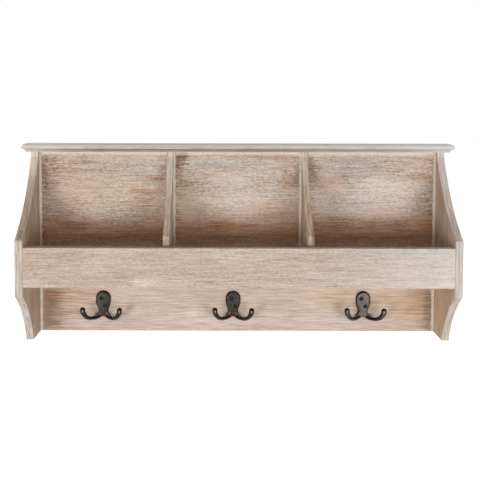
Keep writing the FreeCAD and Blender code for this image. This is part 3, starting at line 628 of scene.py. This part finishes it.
def dress_upright(graph, coat):
    """Brown faces and worn pale edges, for the two side panels and the two dividers alike.

    An edge has a long slope above the rail, and a block below it. The left side panel's slope
    darkens on its way down in painted shade, and the right one's is chalky. The dividers' blocks
    have painted shade, with painted light where they meet the rail.
    """
    # Which board
    left_end = graph.x.falls(-250, -200)
    right_end = graph.x.rises(200, 250)
    divider = (1 - left_end) * (1 - right_end)
    right = graph.x.rises(-10, 10)

    # Which part of it
    face = graph.nx.size().rises(*SIDE_TURN)
    edge = 1 - face
    slope = edge * graph.z.rises(-80, -72)
    block = edge * graph.z.falls(-80, -72)
    inner = (graph.nx * (right * 2 - 1)).falls(-0.5, 0)
    low_face = face * inner * graph.z.falls(-160, -140)
    high_face = face * graph.z.rises(-30, 10)
    high = graph.z.rises(-50, 30)
    fresh = slope * left_end * graph.z.rises(-25, 25)
    shade = slope * left_end * graph.z.falls(-25, 25)
    # Painted light where the dividers' blocks meet the rail: more wash and a cream tint lift the shade
    # there
    lit_foot = block * graph.z.falls(-87, -84)

    coat.thicken(edge * (coat.hairs * 0.16 + coat.lines * 0.1) + fresh * 0.12)
    # Painted shade: thinner wash on the dividers' blocks and low on the left side panel's slope
    coat.thicken(block * (right_end * 0.02 - divider * 0.16 - 0.08) - shade * 0.14 - face * 0.08)
    coat.thicken(low_face * (right * 0.2 - 0.05) - slope * (1 - right_end) * 0.03)
    coat.thicken(slope * divider * (high * 0.2 - right * 0.03) + lit_foot * divider * 0.4)
    coat.thicken(high_face * (divider * 0.05 - right_end * 0.07))

    chalky_slope = slope * divider * high * (1 - right)
    coat.tint(block * 0.3 + edge * right_end * 0.3 + chalky_slope * 0.2, CHALK)
    coat.tint(slope * left_end * 0.6 + lit_foot * divider * 0.6, CREAM)

    brown_part = (1 - high) * (right * 0.3 + 0.15) + right * 0.15
    # Painted shade low on the left side panel's slope, on the dividers' blocks and low on the right
    # divider's slope; the side panels' blocks and the right side panel's lower slope are darkened as well
    coat.stain(shade * 0.62, PAINTED_SHADE)
    coat.stain((block - lit_foot) * divider * 1.15, GREY_SHADE_AND_STAIN)
    coat.stain(block * (right_end * 0.6 + left_end * 0.25), GREY_SHADE_AND_STAIN)
    coat.stain(slope * right_end * graph.z.falls(-60, -30) * 0.4, GREY_SHADE_AND_STAIN)
    coat.stain(slope * divider * right * graph.z.falls(-70, -55) * 0.5, PAINTED_SHADE)
    coat.stain(face * 0.4 + low_face * right * 0.6, TAN_STAIN)
    coat.stain((edge - lit_foot) * divider * brown_part, TAN_STAIN)


# Each board's node, the axis that its grain runs along, and its looks
UPRIGHT_LOOKS = {"dress": dress_upright, "sloped_edges": True, "patchy": 2.5}
BOARDS = (
    ("back_panel", "X", {"dress": dress_panel}),
    ("front_rail", "X", {"dress": dress_rail, "fine": 0.78}),
    ("bottom_shelf", "X", {"cover": 0.45}),
    ("top_board", "X", {"dress": dress_top}),
    ("left_side_panel", "Z", UPRIGHT_LOOKS),
    ("right_side_panel", "Z", UPRIGHT_LOOKS),
    ("left_divider", "Z", UPRIGHT_LOOKS),
    ("right_divider", "Z", UPRIGHT_LOOKS),
)
FIRST_SEED = 3
SEEDS_FOR_A_BOARD = 8


def paint(node, material):
    """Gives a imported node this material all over."""
    for slot in nodes[node].material_slots:
        slot.material = material


def paint_boards():
    """A coat for each board, with seeds of its own."""
    for number, (node, along, looks) in enumerate(BOARDS):
        seed = FIRST_SEED + SEEDS_FOR_A_BOARD * number
        paint(node, wood_material(f"{node}_wood", along, seed, **looks))


# Fasteners

def dark_screw():
    """Blackened steel, nearly without a gloss."""
    graph = Graph("dark_screw")
    grit = graph.noise(0.6, seed=91)
    colour = graph.mix((grit * 0.4 + 0.4).clamped(), srgb(7, 7, 7), srgb(22, 21, 20))
    rough = (grit * 0.06 + 0.5).clamped()
    return graph.finish(colour, rough, grit, relief=0.03, specular=0.1)


def zinc_steel():
    """Zinc plate with a faint spangle and upright streaks."""
    graph = Graph("zinc_steel")
    spangle = graph.noise(3, detail=3, seed=95)
    streak = graph.noise((0.4, 0.4, 14), seed=96)
    pale = (spangle * 0.3 + streak * 0.2 + 0.5).clamped()
    colour = graph.mix(pale, srgb(142, 144, 146), srgb(188, 190, 192))
    rough = (streak * 0.06 + 0.38).clamped()
    return graph.finish(colour, rough, streak, relief=0.02, metallic=1.0)


def plain_dowel_wood():
    """Plain light wood with upright streaks."""
    graph = Graph("plain_dowel_wood")
    streaks = graph.noise((0.8, 0.8, 6), seed=71)
    colour = graph.mix((streaks * 0.3 + 0.5).clamped(), srgb(186, 148, 104), srgb(216, 184, 140))
    return graph.finish(colour, 0.6, streaks, relief=0.04)


def paint_fasteners():
    """Screws, hangers, nails, dowels and pins, told apart by their nodes' names."""
    screw_metal = dark_screw()
    steel = zinc_steel()
    dowel_wood = plain_dowel_wood()
    for node in nodes:
        if node.startswith("hook_screws"):
            paint(node, screw_metal)
        elif node.startswith(("keyhole", "hanger")) or node.endswith("nails"):
            paint(node, steel)
        elif node.endswith(("dowels", "pins")):
            paint(node, dowel_wood)


# Cast coat hooks

# The plate: a round head, whose sides draw in to a neck and flare again at the foot
PLATE_RADIUS = 11
PLATE_SHOULDER = 5.5
PLATE_TAPER = 14
NECK_HALF = 7.4
FLARE_START = -21
FLARE = 2.4
PLATE_LOW = -27.6
PLATE_THICKNESS = 4
PLATE_CROWN = 0.5
RIM_DEPTH = 1.9
RIM_WIDTH = 1.9
PLATE_ROWS = 56
PLATE_COLUMNS = 30
# Share of the rows that the round top of the head takes, how near its top they start, and how
# narrow a row may be
HEAD_ROWS_SHARE = 0.4
HEAD_REACH_SHARE = 0.998
LEAST_HALF = 0.3
# Middle of an arm: out from the plate's middle, forward of the panel, up, and its half width there
ARM_LINE = (
    (3, 2.2, -24.2, 3.8), (5.6, 2.4, -25.8, 4.2), (7.6, 3.7, -27.3, 3.8), (10.7, 7, -28.8, 3.05),
    (14.3, 12, -28.8, 2.7), (17.6, 16.5, -27.9, 2.75), (20.9, 20.5, -26, 3), (23.7, 23.6, -23.1, 3.3),
    (25.8, 25.8, -19.4, 3.6), (27, 26.8, -15.7, 3.85), (27.4, 27, -12.8, 4),
)
ARM_STEPS = 6
ARM_SIDES = 20
# The round end of an arm, and how much of its quarter turn the last ring has made
TIP_RINGS = 6
TIP_TURN_SHARE = 0.98
# How thick an arm is from back to front: flat in the plate, and round from the second place on
ROOT_HALF_DEPTH = 2.2
ROOT_END = 6
ROUND_START = 13
HOOK_VOXEL = 0.34
SMOOTH_FACTOR = 0.5
SMOOTH_ROUNDS = 14
# A vertex this near the panel is pressed onto it, and one a little further if it faces the panel
BACK_NEAR = 0.02
BACK_FURTHER = 0.6
BACK_FACING = 0.5
SCREW_PLACES = ((-2.7, 0), (3.4, -11.4))
SCREW_SEAT_RADIUS = 2.95
SCREW_SEAT_DEPTH = 0.35
SEAT_CUTTER_LENGTH = 8
SEAT_SIDES = 40
# Painted highlights along lines, two on the shoulder of an arm and one on its tip: from, to, how wide, and
# share
PAINTED_HIGHLIGHT_LINES = (
    ((5, -21.4), (7, -24.2), 1, 0.4),
    ((7, -24.2), (10.4, -26.6), 1.3, 1),
    ((27, -14), (26.9, -15.2), 1.5, 0.6),
)
# How much painted reflection each casting's flat face has all over, and the normal's Y up to which it
# counts as flat
FACE_REFLECTION = {"left": 0, "centre": 0, "right": 0.15}
FLAT_FACING = -0.85
# How far a casting hangs off plumb, in degrees
HOOK_TILT = 0.8
# The hammered skin: how wide and how deep its dents are, and how far from the panel they start
DENT_SPREAD = 2.6
DENT_DEPTH = 0.07
DENT_START = -1
DENT_SEED_STEP = 31
DENT_SEED = 7
# Heights from the middle of a hook's head: all below the first is arm, and all above the second
# is plate
ARM_HEIGHT = -19.8
PLATE_HEIGHT = -15.8
# The casting's dark and light, its warm cast, its arms, the painted shade on what looks up on its plate and
# arms, and the painted highlight
PEWTER_DARK = srgb(29, 26, 22)
PEWTER_LIGHT = srgb(60, 56, 48)
PEWTER_WARM = srgb(50, 38, 32)
ARM_BROWN = srgb(42, 25, 15)
PLATE_TOP_SHADE = srgb(66, 34, 20)
ARM_TOP_SHADE = srgb(20, 9, 6)
HIGHLIGHT_METAL = srgb(152, 153, 143)
HIGHLIGHT_ATTRIBUTE = "painted_highlight"


def hook_middle(side):
    """The middle of a hook's head, on the back panel's face."""
    low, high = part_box(f"coat_hook_{side}")
    return Vector(((low.x + high.x) / 2, high.y, high.z - PLATE_RADIUS * MM))


def cast_metal():
    """Dark mottled casting with browner arms, painted shade where it looks up, and painted highlights."""
    graph = Graph("cast_hook_metal")
    # All three hooks hang at one height
    head = hook_middle("left").z / MM
    mottle = graph.noise(2.4, detail=3, rough=0.6, seed=81)
    grit = graph.noise(0.7, seed=82)
    warm = graph.noise(9, detail=1, seed=83)
    base = graph.mix((mottle * 0.35 + grit * 0.15 + 0.45).clamped(), PEWTER_DARK, PEWTER_LIGHT)
    base = graph.mix(warm.rises(0, 1) * 0.4, base, PEWTER_WARM)
    low = graph.z.falls(head + ARM_HEIGHT, head + PLATE_HEIGHT)
    arms = graph.y.falls(-24, -18).most(low)
    base = graph.mix(arms * 0.75, base, ARM_BROWN)
    # Painted shade where it looks up: dark brown on the plate, near black on the arms
    top_shade = graph.mix(arms, PLATE_TOP_SHADE, ARM_TOP_SHADE)
    colour = graph.mix(graph.nz.rises(0.15, 0.7) * 0.85, base, top_shade)
    # Painted highlights along the lines, and the painted reflection on a flat face, in bright metal
    highlit = graph.add("Attribute", {}, output="Fac", attribute_name=HIGHLIGHT_ATTRIBUTE)
    colour = graph.mix((highlit * (mottle * 0.6 + 0.9)).clamped(), colour, HIGHLIGHT_METAL)
    rough = (mottle * 0.06 + grit * 0.06 + 0.3).clamped()
    return graph.finish(colour, rough, mottle + grit * 0.4, relief=0.12, metallic=0.75)


def unit(value):
    """The value, or the nearer of 0 and 1."""
    return min(max(value, 0), 1)


def mesh_object(name, shell):
    """A new object in the scene from a shell of faces, which it frees."""
    mesh = bpy.data.meshes.new(name)
    bmesh.ops.recalc_face_normals(shell, faces=shell.faces)
    shell.to_mesh(mesh)
    shell.free()
    piece = bpy.data.objects.new(name, mesh)
    bpy.context.scene.collection.objects.link(piece)
    return piece


def join_rings(shell, rings):
    """A closed skin through rings of vertices, with flat ends."""
    for first, second in zip(rings, rings[1:]):
        for number in range(len(first)):
            after = (number + 1) % len(first)
            shell.faces.new((first[number], first[after], second[after], second[number]))
    shell.faces.new(rings[0][::-1])
    shell.faces.new(rings[-1])


def half_width(height):
    """Half the width of a hook plate at this height from the middle of its head."""
    if height > 0:
        return math.sqrt(max(PLATE_RADIUS ** 2 - height ** 2, 0))
    drop = unit((-height - PLATE_SHOULDER) / PLATE_TAPER)
    flare = unit((FLARE_START - height) / (FLARE_START - PLATE_LOW))
    neck = (NECK_HALF - PLATE_RADIUS) * drop * drop * (3 - 2 * drop)
    return PLATE_RADIUS + neck + FLARE * flare * flare


def plate_heights():
    """Heights of the plate's rows from the top down, closer together up the round of the head."""
    top = PLATE_RADIUS * HEAD_REACH_SHARE
    heights = []
    for row in range(PLATE_ROWS + 1):
        share = row / PLATE_ROWS
        if share < HEAD_ROWS_SHARE:
            heights.append(top * math.cos(share / HEAD_ROWS_SHARE * math.pi / 2))
        else:
            heights.append(PLATE_LOW * (share - HEAD_ROWS_SHARE) / (1 - HEAD_ROWS_SHARE))
    return heights


def add_plate(shell):
    """The upright plate: a closed pillow whose crowned front has a sloping rim."""
    rings = []
    for height in plate_heights():
        half = max(half_width(height), LEAST_HALF)
        front, back = [], []
        for column in range(PLATE_COLUMNS + 1):
            across = math.sin((column / PLATE_COLUMNS - 0.5) * math.pi)
            out = half * abs(across)
            inset = PLATE_RADIUS - math.hypot(out, height) if height > 0 else half - out
            crown = PLATE_CROWN * (1 - across * across)
            depth = RIM_DEPTH + (PLATE_THICKNESS + crown - RIM_DEPTH) * unit(inset / RIM_WIDTH)
            front.append(shell.verts.new((half * across, -depth, height)))
            back.append(shell.verts.new((half * across, 0, height)))
        rings.append(front + back[::-1])
    join_rings(shell, rings)


def smooth_line(points, steps):
    """A smooth line through points of several values each, by steps between each two."""
    line = []
    for number in range(len(points) - 1):
        before = points[max(number - 1, 0)]
        start = points[number]
        end = points[number + 1]
        after = points[min(number + 2, len(points) - 1)]
        for step in range(steps):
            t = step / steps
            line.append(tuple(
                0.5 * (2 * b + (c - a) * t + (2 * a - 5 * b + 4 * c - d) * t * t
                       + (3 * b - a - 3 * c + d) * t ** 3)
                for a, b, c, d in zip(before, start, end, after)
            ))
    return line + [tuple(points[-1])]


def add_rod(shell, centres, radii, depths):
    """A closed rod with a round end; radii are its half widths, and depths its half thicknesses."""
    tip, radius = centres[-1], radii[-1]
    outward = (tip - centres[-2]).normalized()
    for step in range(1, TIP_RINGS + 1):
        angle = step / TIP_RINGS * math.pi / 2 * TIP_TURN_SHARE
        centres = centres + [tip + outward * radius * math.sin(angle)]
        radii = radii + [radius * math.cos(angle)]
        depths = depths + [radius * math.cos(angle)]
    angles = [math.tau * number / ARM_SIDES for number in range(ARM_SIDES)]
    rings = []
    side = Vector((0, -1, 0))
    for number, (centre, radius, depth) in enumerate(zip(centres, radii, depths)):
        ahead = centres[min(number + 1, len(centres) - 1)]
        behind = centres[max(number - 1, 0)]
        along = (ahead - behind).normalized()
        side = (side - along * side.dot(along)).normalized()
        up = side.cross(along)
        ring = [centre + side * math.cos(a) * depth + up * math.sin(a) * radius for a in angles]
        rings.append([shell.verts.new(place) for place in ring])
    join_rings(shell, rings)


def add_arm(shell, way):
    """One arm of a hook, to the right where way is 1 and to the left where it is -1."""
    line = smooth_line(ARM_LINE, ARM_STEPS)
    centres = [Vector((way * out, -forward, up)) for out, forward, up, _ in line]
    radii = [radius for _, _, _, radius in line]
    depths = []
    for out, _, _, radius in line:
        flat = min(radius, ROOT_HALF_DEPTH)
        depths.append(flat + (radius - flat) * unit((out - ROOT_END) / (ROUND_START - ROOT_END)))
    add_rod(shell, centres, radii, depths)


def apply_modifiers(piece):
    """Makes what the piece's modifiers show its own mesh."""
    graph = bpy.context.evaluated_depsgraph_get()
    made = bpy.data.meshes.new_from_object(piece.evaluated_get(graph))
    piece.modifiers.clear()
    piece.data = made


def smooth_shading(piece):
    for polygon in piece.data.polygons:
        polygon.use_smooth = True


def hook_shape():
    """One casting in millimetres, round the middle of its head on the back panel's face."""
    shell = bmesh.new()
    add_plate(shell)
    parts = [mesh_object("hook_plate", shell)]
    for way in (-1, 1):
        shell = bmesh.new()
        add_arm(shell, way)
        parts.append(mesh_object("hook_arm", shell))
    shell = bmesh.new()
    for part in parts:
        shell.from_mesh(part.data)
        bpy.data.objects.remove(part)
    hook = mesh_object("hook_shape", shell)
    skin = hook.modifiers.new("skin", "REMESH")
    skin.mode = "VOXEL"
    skin.voxel_size = HOOK_VOXEL
    soften = hook.modifiers.new("soften", "SMOOTH")
    soften.factor = SMOOTH_FACTOR
    soften.iterations = SMOOTH_ROUNDS
    apply_modifiers(hook)
    normals = [vertex.normal.copy() for vertex in hook.data.vertices]
    for vertex, normal in zip(hook.data.vertices, normals):
        faces_panel = vertex.co.y > -BACK_FURTHER and normal.y > BACK_FACING
        if vertex.co.y > -BACK_NEAR or faces_panel:
            vertex.co.y = 0
    cut_screw_seats(hook)
    smooth_shading(hook)
    return hook


def cut_screw_seats(hook):
    """Round seats for the screw heads, a little below the crowned face."""
    floor = PLATE_THICKNESS - SCREW_SEAT_DEPTH
    upright = Matrix.Rotation(math.pi / 2, 4, "X")
    shell = bmesh.new()
    for x, z in SCREW_PLACES:
        place = Matrix.Translation((x, -floor - SEAT_CUTTER_LENGTH / 2, z)) @ upright
        bmesh.ops.create_cone(shell, cap_ends=True, segments=SEAT_SIDES, radius1=SCREW_SEAT_RADIUS,
                              radius2=SCREW_SEAT_RADIUS, depth=SEAT_CUTTER_LENGTH, matrix=place)
    cutter = mesh_object("seat_cutter", shell)
    cut = hook.modifiers.new("seats", "BOOLEAN")
    cut.operation = "DIFFERENCE"
    cut.solver = "MANIFOLD"
    cut.object = cutter
    apply_modifiers(hook)
    bpy.data.objects.remove(cutter)


def highlight_share(spot, normal):
    """How much painted highlight a place on a hook has: most along a highlight line, and where it faces the
    room.
    """
    place = Vector((abs(spot.x), spot.z))
    most = 0
    for start, end, width, share in PAINTED_HIGHLIGHT_LINES:
        start, end = Vector(start), Vector(end)
        along = end - start
        nearest = start + along * unit((place - start).dot(along) / along.length_squared)
        away = (place - nearest).length / width
        most = max(most, share * max(1 - away * away, 0))
    return most * unit(-normal.y * 2)


def add_hooks():
    """The three castings: one shape, with dents of each one's own, painted highlights, and a painted
    reflection on the right one's face.
    """
    material = cast_metal()
    pattern = hook_shape()
    tilt = Matrix.Rotation(math.radians(HOOK_TILT), 4, "Y")
    for number, side in enumerate(("left", "centre", "right")):
        mesh = pattern.data.copy()
        normals = [vertex.normal.copy() for vertex in mesh.vertices]
        painted_highlight = mesh.attributes.new(HIGHLIGHT_ATTRIBUTE, "FLOAT", "POINT")
        for vertex, normal, value in zip(mesh.vertices, normals, painted_highlight.data):
            # Painted reflection on the flat face, only on the right hook
            face = FACE_REFLECTION[side] if normal.y < FLAT_FACING else 0
            value.value = max(highlight_share(vertex.co, normal), face)
        for vertex, normal in zip(mesh.vertices, normals):
            apart = Vector((DENT_SEED_STEP * number, DENT_SEED, 0))
            dent = noise.noise(vertex.co / DENT_SPREAD + apart)
            if vertex.co.y < DENT_START:
                vertex.co += normal * dent * DENT_DEPTH
        mesh.transform(Matrix.Translation(hook_middle(side)) @ tilt @ Matrix.Scale(MM, 4))
        hook = bpy.data.objects.new(f"cast_hook_{side}", mesh)
        bpy.context.scene.collection.objects.link(hook)
        hook.data.materials.clear()
        hook.data.materials.append(material)
        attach(hook, "root")
        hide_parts(f"coat_hook_{side}")
    bpy.data.objects.remove(pattern)


# Wash pooled in the inner corners of the cubbies and under the shelf

POOL_DARK = srgb(232, 216, 193)
POOL_LIGHT = srgb(250, 240, 225)
POOL_DIRT = srgb(150, 122, 94)
BEAD_WIDTH = 3.4
THIN_BEAD_WIDTH = 1
# The bead in each corner of the cubbies: thin on the dividers' faces that look outward
CORNER_BEADS = (BEAD_WIDTH, THIN_BEAD_WIDTH, BEAD_WIDTH, BEAD_WIDTH, THIN_BEAD_WIDTH, BEAD_WIDTH)
# How far apart the rows of a bead are, how many sides its hollow has, and how far its back is sunk
BEAD_STEP = 1.5
HOLLOW_SIDES = 4
BEAD_SINK = 0.1
BEAD_FOOT_GAP = 1
# Lumps along a bead: how long the large and the small ones are, the small ones' share, and how
# much of its width they all change
LARGE_LUMP = 7
SMALL_LUMP = 2.2
SMALL_LUMP_SHARE = 0.6
LUMP_SHARE = 0.4
SMALL_LUMP_SEED = 9
BEAD_SEED_STEP = 3
LOWER_BEAD_SEED = 40


def pooled_wash():
    """Lumpy wash with some dirt in it."""
    graph = Graph("pooled_wash")
    lumps = graph.noise((2, 2, 4), seed=101)
    dirt = graph.noise((1.6, 1.6, 2.6), seed=102).rises(0.1, 0.9)
    colour = graph.mix((lumps * 0.35 + 0.6).clamped(), POOL_DARK, POOL_LIGHT)
    colour = graph.mix(dirt * 0.5, colour, POOL_DIRT)
    return graph.finish(colour, 0.6, lumps, relief=0.3, specular=WOOD_SPECULAR)


def bead_leg(height, seed, width):
    """How far a bead reaches along the panel, and along the board, at this height."""
    large = noise.noise(Vector((seed, 0, height / MM / LARGE_LUMP)))
    small = noise.noise(Vector((seed, SMALL_LUMP_SEED, height / MM / SMALL_LUMP)))
    return width * MM * (1 + LUMP_SHARE * (large + SMALL_LUMP_SHARE * small))


def add_bead(name, corner, low, high, material, seed, width=BEAD_WIDTH):
    """A thin uneven fillet of wash down the corner of the back panel and an upright board."""
    x, way = corner
    sink = BEAD_SINK * MM
    count = int((high - low) / (BEAD_STEP * MM))
    shell = bmesh.new()
    rings = []
    for step in range(count + 1):
        height = low + (high - low) * step / count
        leg = bead_leg(height, seed, width)
        ring = []
        for side in range(HOLLOW_SIDES + 1):
            angle = math.pi / 2 * (side / HOLLOW_SIDES)
            across = x + way * leg * (1 - math.sin(angle))
            ring.append(shell.verts.new((across, PANEL_FACE - leg * (1 - math.cos(angle)), height)))
        ring.append(shell.verts.new((x - way * sink, PANEL_FACE + sink, height)))
        rings.append(ring)
    join_rings(shell, rings)
    bead = mesh_object(name, shell)
    smooth_shading(bead)
    bead.data.materials.append(material)
    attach(bead, "root")


def add_beads():
    """Beads from the shelf to the top board, and from the foot of each side panel to the shelf."""
    material = pooled_wash()
    for number, (corner, width) in enumerate(zip(CORNERS, CORNER_BEADS)):
        add_bead(f"corner_wash_{number + 1}", corner, shelf_high.z, TOP_BOARD_UNDERSIDE,
                 material, BEAD_SEED_STEP * number, width)
    for number, corner in enumerate((CORNERS[0], CORNERS[-1])):
        add_bead(f"lower_corner_wash_{number + 1}", corner, FOOT + BEAD_FOOT_GAP * MM, shelf_low.z,
                 material, LOWER_BEAD_SEED + number)


add_camera()
for softbox in SOFTBOXES:
    add_softbox(*softbox)
add_surround()
add_floor()
paint_boards()
paint_fasteners()
add_hooks()
add_beads()
bpy.context.scene.view_settings.view_transform = "Standard"
